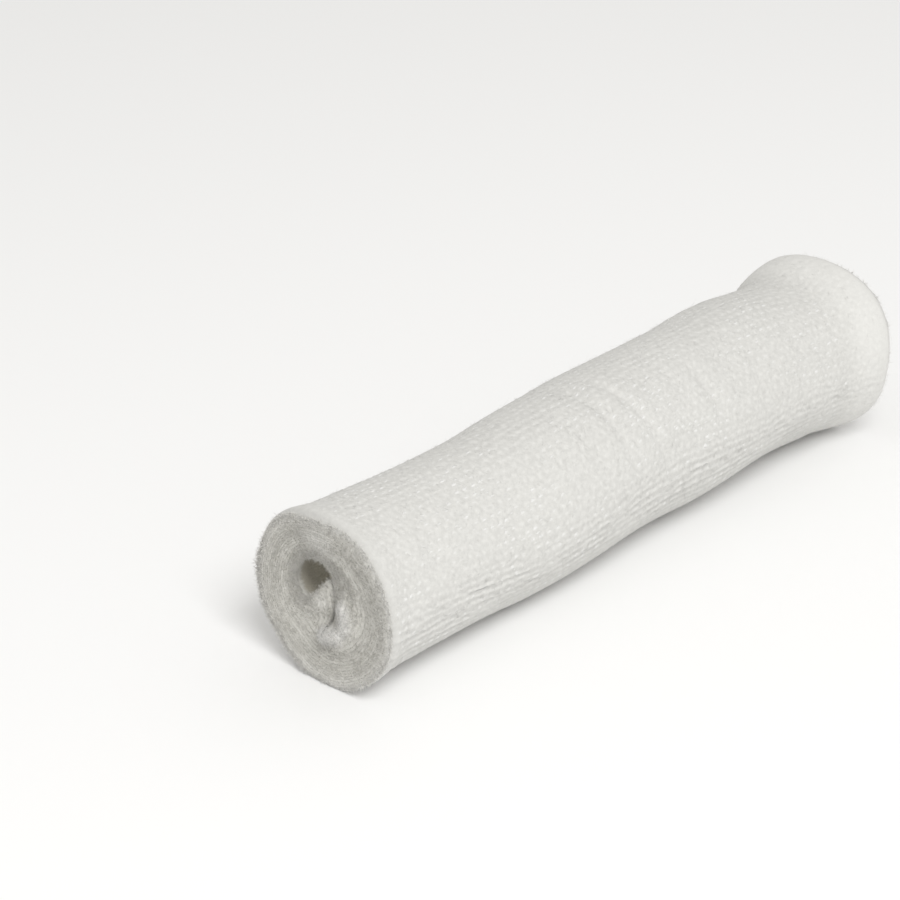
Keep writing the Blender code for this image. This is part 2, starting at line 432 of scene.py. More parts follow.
def start_outline(x, angle, name):
    """One coordinate of the crumpled start, which changes from outline to outline along x."""
    neat, flared = (
        round_trip(
            np.radians(column(table, START_COLUMNS, "angle")),
            column(table, START_COLUMNS, name),
            angle,
        )
        for table in (NEAT_START, FLARED_START)
    )
    to_flared = fade(-START_CHANGE, START_CHANGE, x)
    return neat * (1.0 - to_flared) + flared * to_flared


def rim_shrink(x):
    """How far the outer turn bends inwards at a rim: a quarter of an ellipse."""
    depth = np.clip(WIDTH / 2 - np.abs(x), 0.0, RIM_DEPTH)
    return RIM_ROUND * (1.0 - np.sqrt(1.0 - (1.0 - depth / RIM_DEPTH) ** 2))


def wound(x, share, angle):
    """Places in the winding, in millimetres, as x, y and z arrays.

    share runs from 0 at the strip's start to 1 on the outer turn. Each turn is the outer
    form shrunk by its share, and near the start it gives way to the crumpled outline. The
    underside sags and is pressed flat, turn upon turn.
    """
    sine, cosine = np.sin(angle), np.cos(angle)
    creased = np.clip(1.0 - (1.0 - share) * TURNS / CREASED_TURNS, 0.0, 1.0)
    radius = section("radius", x) + waves(WAVES, x, angle) - rim_shrink(x)
    if np.any(creased > 0.0):
        radius = radius + creases(x, angle) * creased
    outer_y, outer_z = radius * sine, radius * cosine
    from_down = math.pi - np.abs(np.mod(angle + math.pi, math.tau) - math.pi)
    lift = section("height", x) - radius + FOOT_DEPTH
    outer_z = outer_z - np.maximum(lift, 0.0) * np.exp(-((from_down / SAG_ANGLE) ** 2))

    size = START_SHARE + (1.0 - START_SHARE) * share
    kink = np.exp(-((np.maximum(share, 0.0) / KINK_SHARE) ** KINK_FALL))
    y = outer_y * size * (1.0 - kink) + start_outline(x, angle, "y") * kink
    z = outer_z * size * (1.0 - kink) + start_outline(x, angle, "z") * kink

    room = PRESSED_ROOM * (1.0 - START_SHARE) * MEAN_RADIUS
    floor = np.maximum(1.0 - share, 0.0) * room
    z = np.maximum(z + section("height", x), floor)
    return x, y + section("drift", x), z


def reach(end, share, angle):
    """How far the turns reach past the middle of the width at one end."""
    angles = np.arange(len(REACHES[end])) * math.tau / len(REACHES[end])
    outward = np.clip((share - REACH_TURNS) / (1.0 - REACH_TURNS), 0.0, 1.0)
    return round_trip(angles, np.array(REACHES[end]), angle) * outward ** 2


def twists(end, y, z):
    """Rise of an end's face at each place, as a sum of round bumps and dents."""
    rise = np.zeros_like(y)
    for form in named_rows(TWISTS, TWIST_COLUMNS):
        if form["end"] == end:
            square = (y - form["y"]) ** 2 + (z - form["z"]) ** 2
            rise = rise + form["rise"] * np.exp(-square / form["spread"] ** 2)
    return rise


def from_centre(points):
    """x, y and z in millimetres from the section's centre, for points in metres."""
    x = points[..., 0] / MM - MIDDLE
    y = points[..., 1] / MM - section("drift", x)
    z = points[..., 2] / MM - section("height", x)
    return x, y, z


def face_rise(points):
    """Rise of the nearer end's face at points in metres, as far inwards as they show."""
    x, y, z = from_centre(points)
    return np.where(x < 0.0, twists(-1, y, z), twists(1, y, z))


def near_rim(points):
    """From 0 in the middle of an end's face to 1 at its rim, and 0 away from the ends: the
    distance from the section's centre as a share of the radius there."""
    x, y, z = from_centre(points)
    share = np.sqrt(y * y + z * z) / section("radius", x)
    return np.where(np.abs(x) > WIDTH / 2 - RIM_FLUFF_AND_LIGHT_DEPTH, np.clip(share, 0.0, 1.0), 0.0)


def edge_place(end, share, angle, turn):
    """Where the strip's edge lies along the roll, from the middle of the width.

    The end is dished, its outer turns are rounded off by a quarter of an ellipse, and the
    first turns stand back round the hollow by a bell curve. Every turn is a little out of
    line with the next, by a sum of sines of its number, and the end's lumps and dents are
    added.
    """
    dish = DISH_DEPTH * np.clip(1.0 - share, 0.0, 1.0) ** DISH_CURVE
    from_outside = np.clip((1.0 - share) * MEAN_RADIUS * (1.0 - START_SHARE), 0.0, RIM_ROUND)
    rounding = EDGE_BACK * (1.0 - np.sqrt(1.0 - (1.0 - from_outside / RIM_ROUND) ** 2))
    uneven = sum(
        height * np.sin(turn * by_turn + end * by_end + phase)
        for by_turn, by_end, phase, height in JITTER_SINES
    )
    mouth = MOUTH_BACK * np.exp(-((turn / MOUTH_TURNS) ** 2))
    depth = dish + rounding + mouth + TURN_JITTER * uneven
    full = np.full(np.shape(share), end * WIDTH / 2)
    _, y, z = wound(full, share, angle)
    rise = twists(end, y - section("drift", full), z - section("height", full))
    return end * (WIDTH / 2 - depth + rise)


def place(x, share, angle):
    """Points of the winding in metres, with the reach of the outer turns added."""
    x, y, z = wound(x, share, angle)
    near = np.clip(1.0 - (WIDTH / 2 + x) / REACH_FADE, 0.0, 1.0) ** 2
    far = np.clip(1.0 - (WIDTH / 2 - x) / REACH_FADE, 0.0, 1.0) ** 2
    along = x + MIDDLE + reach(1, share, angle) * far - reach(-1, share, angle) * near
    return np.stack((along, y, z), axis=-1) * MM


def half_room():
    """Half the cloth's thickness as a share of the winding."""
    return 0.5 * FILL / TURNS


def share_of(turn):
    """Share of the winding at which the middle of the cloth lies at a turn's number."""
    return half_room() + (1.0 - 2.0 * half_room()) * turn / TURNS


def knit_place(stitch, row):
    """Place along the roll and angle of a point of the knit, counted in stitches and rows.

    Both counts run on without end, and waves make the knit drift a little either way.
    """
    x = (stitch - STITCHES / 2) * STITCH_PITCH
    angle = math.tau * row / ROWS
    drifted = x + waves(STITCH_DRIFT, x, angle)
    limit = WIDTH / 2 - KNIT_CLEARANCE
    drifted = np.clip(drifted, -limit, limit)
    return drifted, angle + (waves(ROW_DRIFT, x, angle) + ROW_SLANT * drifted) / MEAN_RADIUS


def outer_skin(x, angle, above=0.0):
    """Points on the outer turn's outside lifted along its normal, their outward normals,
    and the directions round the roll there. A normal is the cross product of two slopes."""
    back = np.mod(OUTER_END - angle, math.tau) / math.tau
    share = share_of(TURNS - back) + half_room()
    points = place(x, share, angle)
    along = place(x + PROBE_LENGTH, share, angle) - place(x - PROBE_LENGTH, share, angle)
    turn = place(x, share, angle + PROBE_ANGLE) - place(x, share, angle - PROBE_ANGLE)
    normal = unit(np.cross(along, turn))
    away = points * np.array((0.0, 1.0, 1.0)) - np.array((0.0, 0.0, MEAN_RADIUS * MM))
    normal = normal * np.sign(np.sum(normal * away, axis=-1, keepdims=True))
    return points + normal * np.asarray(above)[..., None] * MM, normal, unit(turn)


# ---- Meshes --------------------------------------------------------------------------


def make_piece(name, points, faces, material, numbers=None, smooth=True, flat=None):
    """A mesh from an array of points and a list of index arrays, each of one face size.

    numbers holds named values for each point, which the material may read. flat tells for
    the first faces whether they are shaded flat. Whatever would reach under the floor is
    pressed flat on it.
    """
    points[:, 2] = np.maximum(points[:, 2], 0.0)
    mesh = bpy.data.meshes.new(name)
    loops = np.concatenate([block.ravel() for block in faces]).astype(np.int32)
    sizes = np.concatenate([np.full(len(block), block.shape[1]) for block in faces])
    starts = np.concatenate(([0], np.cumsum(sizes)[:-1])).astype(np.int32)
    mesh.vertices.add(len(points))
    mesh.vertices.foreach_set("co", points.astype(np.float32).ravel())
    mesh.loops.add(len(loops))
    mesh.loops.foreach_set("vertex_index", loops)
    mesh.polygons.add(len(sizes))
    mesh.polygons.foreach_set("loop_start", starts)
    mesh.update(calc_edges=True)
    for label, values in (numbers or {}).items():
        layer = mesh.attributes.new(label, "FLOAT", "POINT")
        layer.data.foreach_set("value", values.astype(np.float32).ravel())
    if smooth:
        rounded = np.ones(len(sizes), dtype=bool)
        if flat is not None:
            rounded[:len(flat)] = ~flat
        mesh.polygons.foreach_set("use_smooth", rounded)
    mesh.materials.append(material)
    piece = bpy.data.objects.new(name, mesh)
    bpy.context.scene.collection.objects.link(piece)
    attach(piece, "root")
    return piece


def ring_faces(columns, ring, closed_along=False):
    """Quads between rings of points that follow one another, each ring closed."""
    last = columns if closed_along else columns - 1
    here = np.arange(last)[:, None] * ring
    following = np.mod(np.arange(last) + 1, columns)[:, None] * ring
    k = np.arange(ring)[None, :]
    k_next = np.mod(k + 1, ring)
    quads = np.stack((here + k, following + k, following + k_next, here + k_next), axis=-1)
    return quads.reshape(-1, 4)


# ---- The strip -----------------------------------------------------------------------

RIDGE_CROWDING = 2.2      # how many more columns ridged cloth gets
CROWDING_SAMPLES = 40     # places for each column by which that is worked out
COARSE_DEPTHS = (0.0, 0.5, 1.6, 4.0, 11.0, 32.0)    # of the inner turns' points, from an edge
COARSE_CELLS = (1,) * (2 * len(COARSE_DEPTHS) - 1)
FINE_CELLS = (1, 2, 4, 10, 32, 142, 32, 10, 4, 2, 1)    # what the outer turn makes of each


def stations(cells_between):
    """Places across the strip's width from 0 to 1, shared by coarse and fine columns.

    The coarse places crowd towards the edges. cells_between says how many equal cells
    each coarse cell is cut into.
    """
    half = np.array(COARSE_DEPTHS) / WIDTH
    coarse = np.concatenate((half, 1.0 - half[::-1]))
    pieces = [
        np.linspace(start, end, cells, endpoint=False)
        for start, end, cells in zip(coarse, coarse[1:], cells_between)
    ]
    return np.append(np.concatenate(pieces), 1.0)


def strip_columns(turn, across_outside, across_inside):
    """Points of the strip's cross rings at each turn number: outside, far edge, inside and
    near edge. Each cut edge leans with the slope of the end it is part of.

    Named numbers tell how deep in the winding each point lies, how far from an edge, its
    stitch and row, how ridged it is, how much the end's face rises there, and how near it
    is to the rim.
    """
    angle = OUTER_END - (TURNS - turn) * math.tau
    middle = share_of(turn)
    half = half_room()

    def edge(end, outward):
        return edge_place(end, middle + EDGE_LEAN * outward * half, angle, turn)

    blocks = []
    for side, across in ((1.0, across_outside), (-1.0, across_inside[::-1])):
        order = np.clip(across, EDGE_ROUND / WIDTH, 1.0 - EDGE_ROUND / WIDTH)
        near, far = edge(-1, side), edge(1, side)
        x = near[:, None] + (far - near)[:, None] * order[None, :]
        blocks.append((x, np.broadcast_to((middle + side * half)[:, None], x.shape)))
        shifts = np.array((0.5, -0.5)) * side
        x_edge = np.stack([edge(int(side), shift) for shift in shifts], axis=1)
        blocks.append((x_edge, middle[:, None] + shifts[None, :] * half))
    x = np.concatenate([block[0] for block in blocks], axis=1)
    shares = np.concatenate([block[1] for block in blocks], axis=1)
    angles = np.broadcast_to(angle[:, None], x.shape)
    stitch, row = knit_counts(x, angles)
    points = place(x, shares, angles)
    numbers = {
        "winding": shares,
        "from_edge": np.minimum(x - edge(-1, 0.0)[:, None], edge(1, 0.0)[:, None] - x),
        "stitch": stitch,
        "row": row,
        "ridge": ridged(x, angles),
        "rise": face_rise(points),
        "rim": near_rim(points),
    }
    return points, numbers


def bridge_faces(coarse_ring, fine_ring, coarse_start, fine_start, fine_at):
    """Faces between the last coarse column and the first fine one.

    fine_at gives the fine ring's index of each of the coarse ring's points. A face spans
    one coarse cell and as many fine ones as meet it, so its size varies.
    """
    blocks = []
    for k in range(coarse_ring):
        k_next = (k + 1) % coarse_ring
        first, last = fine_at[k], fine_at[k_next]
        if last < first:
            last = last + fine_ring
        fine = np.arange(last, first - 1, -1) % fine_ring + fine_start
        blocks.append(np.concatenate(([coarse_start + k, coarse_start + k_next], fine))[::-1][None])
    return blocks


def cap_faces(outside_at, outside_count, start, flip):
    """Faces that close a cross ring. outside_at gives the index on its outside that each
    of its inside's places stands across from."""
    last = len(outside_at) - 1
    ring = outside_count + len(outside_at) + 4
    blocks = []
    for k in range(last):
        outside = np.arange(outside_at[k], outside_at[k + 1] + 1)
        inside = outside_count + 2 + last - k
        blocks.append(np.concatenate((outside, (inside - 1, inside)))[None])
    blocks.append(np.arange(outside_count - 1, outside_count + 3)[None])
    blocks.append(np.array([[ring - 3, ring - 2, ring - 1, 0]]))
    return [(block[:, ::-1] if flip else block) + start for block in blocks]


def edge_quads(columns, outside_count, ring):
    """Which quads between cross rings belong to the strip's two cut edges."""
    k = np.arange(ring)
    far = (k >= outside_count - 1) & (k <= outside_count + 1)
    return np.tile(far | (k >= ring - 3), columns - 1)


def crowded_turns(start, end, count):
    """Turn numbers after start and up to end, which crowd where the rows are ridged."""
    even = np.linspace(start, end, CROWDING_SAMPLES * count)
    density = 1.0 + RIDGE_CROWDING * ridged(0.0, OUTER_END - (TURNS - even) * math.tau)
    passed = np.cumsum(density)
    return np.interp(np.linspace(passed[0], passed[-1], count + 1)[1:], passed, even)


def make_bandage(material):
    """The whole wound strip as one closed thin solid, and its length in metres.

    A point of the strip is wound(x, share, angle), with angle and share growing together.
    The length is that of its middle line: the inner turns' chords, and a mean circle for
    each turn after them.
    """
    coarse, fine = stations(COARSE_CELLS), stations(FINE_CELLS)
    first_fine = TURNS - 1.0 - UNDERLAP
    inner = np.linspace(0.0, first_fine, int(first_fine * INNER_STEPS))
    outer = crowded_turns(first_fine, TURNS, OUTER_STEPS)
    inner_points, inner_numbers = strip_columns(inner, coarse, coarse)
    outer_points, outer_numbers = strip_columns(outer, fine, coarse)
    inner_ring, outer_ring = inner_points.shape[1], outer_points.shape[1]
    offset = len(inner) * inner_ring

    fine_index = np.concatenate(([0], np.cumsum(FINE_CELLS)))
    fine_at = np.concatenate((fine_index, np.arange(len(fine), outer_ring)))

    faces = [ring_faces(len(inner), inner_ring), ring_faces(len(outer), outer_ring) + offset]
    last_inner = offset - inner_ring
    last_outer = offset + (len(outer) - 1) * outer_ring
    faces += bridge_faces(inner_ring, outer_ring, last_inner, offset, fine_at)
    faces += cap_faces(np.arange(len(coarse)), len(coarse), 0, False)
    faces += cap_faces(fine_index, len(fine), last_outer, True)
    points = np.concatenate((inner_points.reshape(-1, 3), outer_points.reshape(-1, 3)))
    numbers = {
        label: np.concatenate((inner_numbers[label].ravel(), outer_numbers[label].ravel()))
        for label in inner_numbers
    }
    flat = np.concatenate((
        edge_quads(len(inner), len(coarse), inner_ring),
        edge_quads(len(outer), len(fine), outer_ring),
    ))
    bandage = make_piece("bandage", points, faces, material, numbers, flat=flat)
    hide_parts(ROLL_NODE)
    angle = OUTER_END - (TURNS - inner) * math.tau
    middle_line = place(np.zeros_like(inner), share_of(inner), angle)
    length = np.sum(np.linalg.norm(np.diff(middle_line, axis=0), axis=1))
    return bandage, length + math.tau * MEAN_RADIUS * MM * (TURNS - first_fine)


# ---- The knit ------------------------------------------------------------------------


def between(pair, amount):
    """Value between the two of a pair, by an amount from 0 to 1."""
    return pair[0] + (pair[1] - pair[0]) * amount


def selvage_fade(x):
    """0 on the smooth selvages and 1 on the stitched cloth between them."""
    return fade(*NEAT_SELVAGE, WIDTH / 2 + x) * fade(*FLARED_SELVAGE, WIDTH / 2 - x)


def tube_points(centre, side, normal, half_width, half_height, sides):
    """Rings of points round a yarn: ellipses across its line."""
    turn = math.tau * (np.arange(sides) + 0.5) / sides
    wide = np.cos(turn)[None, None, :, None] * side[:, :, None, :] * half_width[:, :, None, None]
    high = np.sin(turn)[None, None, :, None] * normal[:, :, None, :] * half_height[:, :, None, None]
    return centre[:, :, None, :] + (wide + high) * MM


def yarn_faces(yarns, columns, sides, closed_along):
    """Faces of many yarns that have the same count of points, with their ends closed."""
    quads = ring_faces(columns, sides, closed_along)
    start = np.arange(yarns)[:, None, None] * columns * sides
    faces = [(quads[None] + start).reshape(-1, 4)]
    if not closed_along:
        first = np.arange(sides)[None, :] + start[:, 0]
        last = first[:, ::-1] + (columns - 1) * sides
        faces += [first, last]
    return faces


def between_stitches(values, count):
    """Values given at whole stitches, joined smoothly for the counts between them."""
    below = np.floor(count).astype(int)
    first = np.take_along_axis(values, below, axis=1)
    second = np.take_along_axis(values, below + 1, axis=1)
    return first + (second - first) * fade(0.0, 1.0, count - below)


def make_rows(name, rows, yarn, material, random):
    """Crinkled yarns along the roll, one for each row number.

    A stitch is where the yarn rises and swells. The rise is a raised cosine of the stitch
    count, and each stitch has a strength and strays of its own. Each row is staggered by
    half a stitch from the last. Ridged rows stand up between their stitches too.
    """
    along = np.linspace(0.0, STITCHES, STITCHES * yarn["steps"])
    stitch = along[None, :] + np.zeros((len(rows), 1))
    count = stitch + 0.5 * np.mod(rows, 2)[:, None]
    nearest = np.floor(count + 0.5).astype(int)
    size = (len(rows), STITCHES + SPARE_STITCHES)
    own = np.take_along_axis(random.uniform(yarn["strength"], 1.0, size), nearest, axis=1)
    stray = np.take_along_axis(random.normal(0.0, STITCH_STRAY, size), nearest, axis=1)
    beside = between_stitches(random.normal(0.0, STITCH_STRAY, size), count)
    phase = count - nearest
    phase = phase - stray / STITCH_PITCH * (1.0 - (2.0 * phase) ** 2)
    crest = 0.5 + 0.5 * np.cos(math.tau * np.clip(phase, -0.5, 0.5))
    x, angle = knit_place(stitch, rows[:, None])
    patch = PATCH_MIDDLE + waves(STITCH_PATCHES, x, angle)
    crest = np.clip(crest * own * patch, 0.0, 1.0)
    odd = np.abs(np.sin(math.pi * rows / 2))[:, None]
    standing = ridged(x, angle) * (1.0 - RIDGED_ODD * odd * paired(x)) * selvage_fade(x)
    crest = crest * selvage_fade(x)
    crest = crest + (1.0 - crest) * RIDGED_CREST * standing
    swing = ROW_SWING * np.sin(math.tau * count + SWING_PHASE) + beside
    x, angle = knit_place(stitch, rows[:, None] + swing / STITCH_PITCH)
    above = between(yarn["lift"], crest) - RIDGED_SINK * standing
    centre, normal, side = outer_skin(x, angle, above)
    half_width = between(yarn["width"], crest) + RIDGED_WIDTH * standing
    half_height = between(yarn["height"], crest) - RIDGED_LOWER * standing
    points = tube_points(centre, side, normal, half_width, half_height, yarn["sides"])
    faces = yarn_faces(len(rows), len(along), yarn["sides"], False)
    # The crest number drives the yarn's painted highlight.
    shade = np.repeat(crest[:, :, None], yarn["sides"], axis=2)
    return make_piece(name, points.reshape(-1, 3), faces, material, {"crest": shade})


def make_binders(material, random):
    """Yarns round the roll that bind the rows. By cosines of the row, they zigzag so that
    they cross each row between two of its stitches, and dive under it."""
    count = STITCHES - 1
    number = np.arange(count)[:, None]
    row = np.arange(ROWS * BINDER_STEPS)[None, :] / BINDER_STEPS
    stitch = number + 1.0 + (np.cos(math.pi * row) - 1.0) * BINDER_SWING
    x, angle = knit_place(stitch, row)
    rise = 0.5 - 0.5 * np.cos(math.tau * row) * random.uniform(*BINDER_STRENGTH, stitch.shape)
    centre, normal, side = outer_skin(x, angle, between(BINDER_LIFT, rise))
    along = np.cross(side, normal)
    width = np.full(x.shape, BINDER_HALF_WIDTH)
    height = np.full(x.shape, BINDER_HALF_HEIGHT)
    points = tube_points(centre, along, normal, width, height, BINDER_SIDES)
    faces = yarn_faces(count, row.shape[1], BINDER_SIDES, True)
    # How far each part rises, which drives the yarn's painted highlight.
    shade = np.repeat(rise[:, :, None] * BINDER_CREST_HIGHLIGHT, BINDER_SIDES, axis=2)
    return make_piece("binding_yarns", points.reshape(-1, 3), faces, material, {"crest": shade})


# ---- Loose fibres --------------------------------------------------------------------

START_TURNS = 7.0         # turns that belong to the crumpled start
CLEAR_OF_FLOOR = 0.4      # no loose fibres lower than this
EDGE_ROOTS = 0.15         # how deep in a cut edge a fibre may start
SKIN_ROOTS = 0.05         # how far above the outer turn
LYING_FIBRE_THICKNESS = 0.042
BENT_FIBRE_THICKNESS = 0.02
TUFT_THICKNESS = 0.07

# Fibre lengths: shape and scale of a gamma curve, and the least length.
FELT_LENGTH = (4.0, 0.14, 0.2)
FLUFF_LENGTH = (2.5, 0.2, 0.25)
FUZZ_LENGTH = (3.0, 0.25, 0.3)
TUFT_LENGTH = (0.3, 1.3)          # shortest and longest tuft
FIBRE_OF_TUFT = (0.5, 1.2)        # its fibres as shares of that

# How far fibres lean out of an end, beside a random part round it: the least, and a share.
FELT_OUT = (0.03, 0.2)
FLUFF_OUT = (0.2, 1.0)
TUFT_OUT = (0.1, 1.0)
FUZZ_OUT = (0.05, 0.5)            # least and most that the skin's fuzz lifts

FLUFF_START = 0.8         # share of the winding from which on its edges have fluff
TUFT_START = 0.9          # and tufts
TUFT_FIBRES = 5
TUFT_WIDTH = 0.03         # spread of a tuft's fibres round the rim, in radians
TUFT_SPREAD = 0.6         # and of their directions
RAGGED_ANGLES = (math.radians(75.0), math.radians(165.0))   # where the rim is most ragged
RAGGED_SHARE = 0.5        # and the share of the tufts that stand there
FUZZ_CLEARANCE = 0.8      # how near an edge the skin's fuzz may start

FIBRE_BEND = 0.45         # most that a bent fibre's tip goes aside, as a share of its length
BEND_UNEVEN = (0.2, 1.0)
BEND_PLACE = 0.55         # how far along it bends
BEND_ASIDE = 0.35         # and the share of the tip's way aside that it has gone by there
BEND_THINNER = 0.8

SPIKE_FACES = (((0, 2, 1), (0, 1, 3), (1, 2, 3), (2, 0, 3)),)
BENT_FACES = (
    ((0, 1, 4, 3), (1, 2, 5, 4), (2, 0, 3, 5)),
    ((0, 2, 1), (3, 4, 6), (4, 5, 6), (5, 3, 6)),
)

# The pieces of fibres: name, end and count. Felt has a second count, for its start's folds.
FELT_COUNTS = (("felt_neat_end", -1, 38500, 9000), ("felt_flared_end", 1, 14000, 2000))
FLUFF_COUNTS = (("fluff_neat_end", -1, 2600), ("fluff_flared_end", 1, 2000))
TUFT_COUNTS = (("tufts_neat_end", -1, 2800), ("tufts_flared_end", 1, 1200))
FUZZ_COUNT = 5000


def cross_section(directions, random):
    """Unit vectors at right angles to each fibre, at random round it, and the three even
    corners of its section."""
    aside = unit(np.cross(directions, random.normal(size=directions.shape)))
    other = np.cross(directions, aside)
    turn = math.tau * np.arange(3)[None, :, None] / 3
    return aside, np.cos(turn) * aside[:, None] + np.sin(turn) * other[:, None]


def make_fibres(name, roots, points, faces, material):
    """Fibres as one piece, from the points of each and the faces between them."""
    count = points.shape[1]
    start = np.arange(len(roots))[:, None, None] * count
    blocks = [(np.array(block)[None] + start).reshape(-1, len(block[0])) for block in faces]
    numbers = {
        "rise": np.repeat(face_rise(roots), count),
        "rim": np.repeat(near_rim(roots), count),
    }
    return make_piece(name, points.reshape(-1, 3), blocks, material, numbers, smooth=False)


def make_lying_fibres(name, roots, directions, lengths, thickness, material, random):
    """Short straight fibres: slim three-sided spikes from a root to a point."""
    directions = unit(directions)
    _, ring = cross_section(directions, random)
    base = roots[:, None] + ring * thickness * MM
    tip = roots + directions * lengths[:, None] * MM
    points = np.concatenate((base, tip[:, None]), axis=1)
    return make_fibres(name, roots, points, SPIKE_FACES, material)


def make_bent_fibres(name, roots, directions, lengths, material, random):
    """Longer fibres with one soft bend, three-sided, from a root to a point."""
    directions = unit(directions)
    aside, ring = cross_section(directions, random)
    bend = aside * lengths[:, None] * FIBRE_BEND * random.uniform(*BEND_UNEVEN, (len(roots), 1))
    middle = roots + (directions * lengths[:, None] * BEND_PLACE + bend * BEND_ASIDE) * MM
    tip = roots + (directions * lengths[:, None] + bend) * MM
    base_ring = roots[:, None] + ring * BENT_FIBRE_THICKNESS * MM
    middle_ring = middle[:, None] + ring * BENT_FIBRE_THICKNESS * BEND_THINNER * MM
    points = np.concatenate((base_ring, middle_ring, tip[:, None]), axis=1)
    return make_fibres(name, roots, points, BENT_FACES, material)


def fibre_lengths(form, count, random):
    """Random lengths by a gamma curve above the least."""
    shape, scale, least = form
    return random.gamma(shape, scale, count) + least


def lean_out(directions, end, least, share):
    """The directions turned so that they all leave an end's face, by at least the least."""
    directions[:, 0] = end * (least + share * np.abs(directions[:, 0]))
    return directions


def end_roots(end, count, random, least=0.0):
    """Random places on the wound edges of one end, evenly spread over its face.

    least is the share of the winding from which on they lie. A turn's radius grows from
    START_SHARE to 1, so an even spread takes the root of a random square of it.
    """
    inner = START_SHARE + (1.0 - START_SHARE) * least
    radius = np.sqrt(random.uniform(inner ** 2, 1.0, count))
    turn = TURNS * (radius - START_SHARE) / (1.0 - START_SHARE)
    angle = OUTER_END - (TURNS - turn) * math.tau + random.uniform(0.0, math.tau, count)
    share = share_of(turn) + random.uniform(-1.0, 1.0, count) * half_room()
    x = edge_place(end, share_of(turn), angle, turn) - end * random.uniform(0.0, EDGE_ROOTS, count)
    roots = place(x, share, angle)
    return roots[roots[:, 2] > CLEAR_OF_FLOOR * MM]


def end_felt(name, end, count, inner_count, material, random):
    """Dense short fuzz that lies across the wound edges of one end, and more of it on
    the thick soft folds of the crumpled start."""
    turn = random.uniform(0.0, START_TURNS, inner_count)
    angle = OUTER_END + random.uniform(0.0, math.tau, inner_count)
    share = share_of(turn) + random.uniform(-1.0, 1.0, inner_count) * half_room()
    start = place(edge_place(end, share, angle, turn), share, angle)
    roots = np.concatenate((end_roots(end, count, random), start))
    directions = lean_out(random.normal(size=roots.shape), end, *FELT_OUT)
    lengths = fibre_lengths(FELT_LENGTH, len(roots), random)
    return make_lying_fibres(
        name, roots, directions, lengths, LYING_FIBRE_THICKNESS, material, random
    )


def end_fluff(name, end, count, material, random):
    """Longer fibres that stand out of the outer turns' edges at one end."""
    roots = end_roots(end, count, random, FLUFF_START)
    directions = lean_out(random.normal(size=roots.shape), end, *FLUFF_OUT)
    lengths = fibre_lengths(FLUFF_LENGTH, len(roots), random)
    return make_bent_fibres(name, roots, directions, lengths, material, random)


def rim_tufts(name, end, count, material, random):
    """Short thick fibres that stand out round an end's rim, in small clumps."""
    ragged = int(RAGGED_SHARE * count / TUFT_FIBRES)
    clumps = random.uniform(0.0, math.tau, count // TUFT_FIBRES)
    clumps[:ragged] = random.uniform(*RAGGED_ANGLES, ragged)
    angle = np.repeat(clumps, TUFT_FIBRES)
    angle = angle + random.normal(0.0, TUFT_WIDTH, len(angle))
    share = random.uniform(TUFT_START, 1.0, len(angle))
    inside = np.clip(share, 0.0, 1.0 - half_room())
    roots = place(edge_place(end, inside, angle, TURNS * inside), inside, angle)
    outward = np.stack((np.zeros_like(angle), np.sin(angle), np.cos(angle)), axis=-1)
    directions = outward + random.normal(0.0, TUFT_SPREAD, roots.shape)
    directions = lean_out(directions, end, *TUFT_OUT)
    lengths = np.repeat(random.uniform(*TUFT_LENGTH, len(clumps)), TUFT_FIBRES)
    lengths = lengths * random.uniform(*FIBRE_OF_TUFT, len(angle))
    clear = roots[:, 2] > CLEAR_OF_FLOOR * MM
    return make_lying_fibres(
        name, roots[clear], directions[clear], lengths[clear], TUFT_THICKNESS, material, random
    )


def skin_fuzz(name, count, material, random):
    """Fuzz that lies along the outer turn and lifts a little off it."""
    x = random.uniform(-1.0, 1.0, count) * (WIDTH / 2 - FUZZ_CLEARANCE)
    roots, normal, side = outer_skin(x, random.uniform(0.0, math.tau, count), SKIN_ROOTS)
    along = np.array((1.0, 0.0, 0.0)) * random.normal(size=(count, 1))
    directions = along + random.normal(size=(count, 1)) * side
    directions = unit(directions) + normal * random.uniform(*FUZZ_OUT, (count, 1))
    lengths = fibre_lengths(FUZZ_LENGTH, count, random)
    clear = roots[:, 2] > CLEAR_OF_FLOOR * MM
    return make_bent_fibres(
        name, roots[clear], directions[clear], lengths[clear], material, random
    )


# ---- Materials -----------------------------------------------------------------------

CLOTH_SHADE = (0.60, 0.595, 0.572, 1.0)
CLOTH_LIGHT = (0.72, 0.715, 0.69, 1.0)
# Lighter colour towards the flared end.
FLARED_END_LIGHTER = (0.78, 0.775, 0.75, 1.0)
# Painted shade of the skin where it rounds over the rims.
RIM_PAINTED_SHADE = (0.50, 0.495, 0.475, 1.0)
EDGE_SHADE = (0.60, 0.59, 0.55, 1.0)
EDGE_LIGHT = (0.68, 0.67, 0.63, 1.0)
# Lighter colour of the end's raised folds: their bare cloth and painted light.
FOLD_CLOTH_AND_PAINTED_LIGHT = (0.88, 0.87, 0.845, 1.0)
# Lighter colour near an end's rim: its lighter fluff and painted light on the rounded rim.
RIM_FLUFF_AND_PAINTED_LIGHT = (0.92, 0.91, 0.88, 1.0)
# Painted shade in the end's creases.
CREASE_PAINTED_SHADE = (0.62, 0.59, 0.52, 1.0)
# Painted shade on the hollow's walls near its mouth, and painted light deeper in.
HOLLOW_MOUTH_PAINTED_SHADE = (0.46, 0.435, 0.37, 1.0)
HOLLOW_DEEP_PAINTED_LIGHT = (0.92, 0.89, 0.79, 1.0)
YARN_SHADE = (0.64, 0.635, 0.615, 1.0)
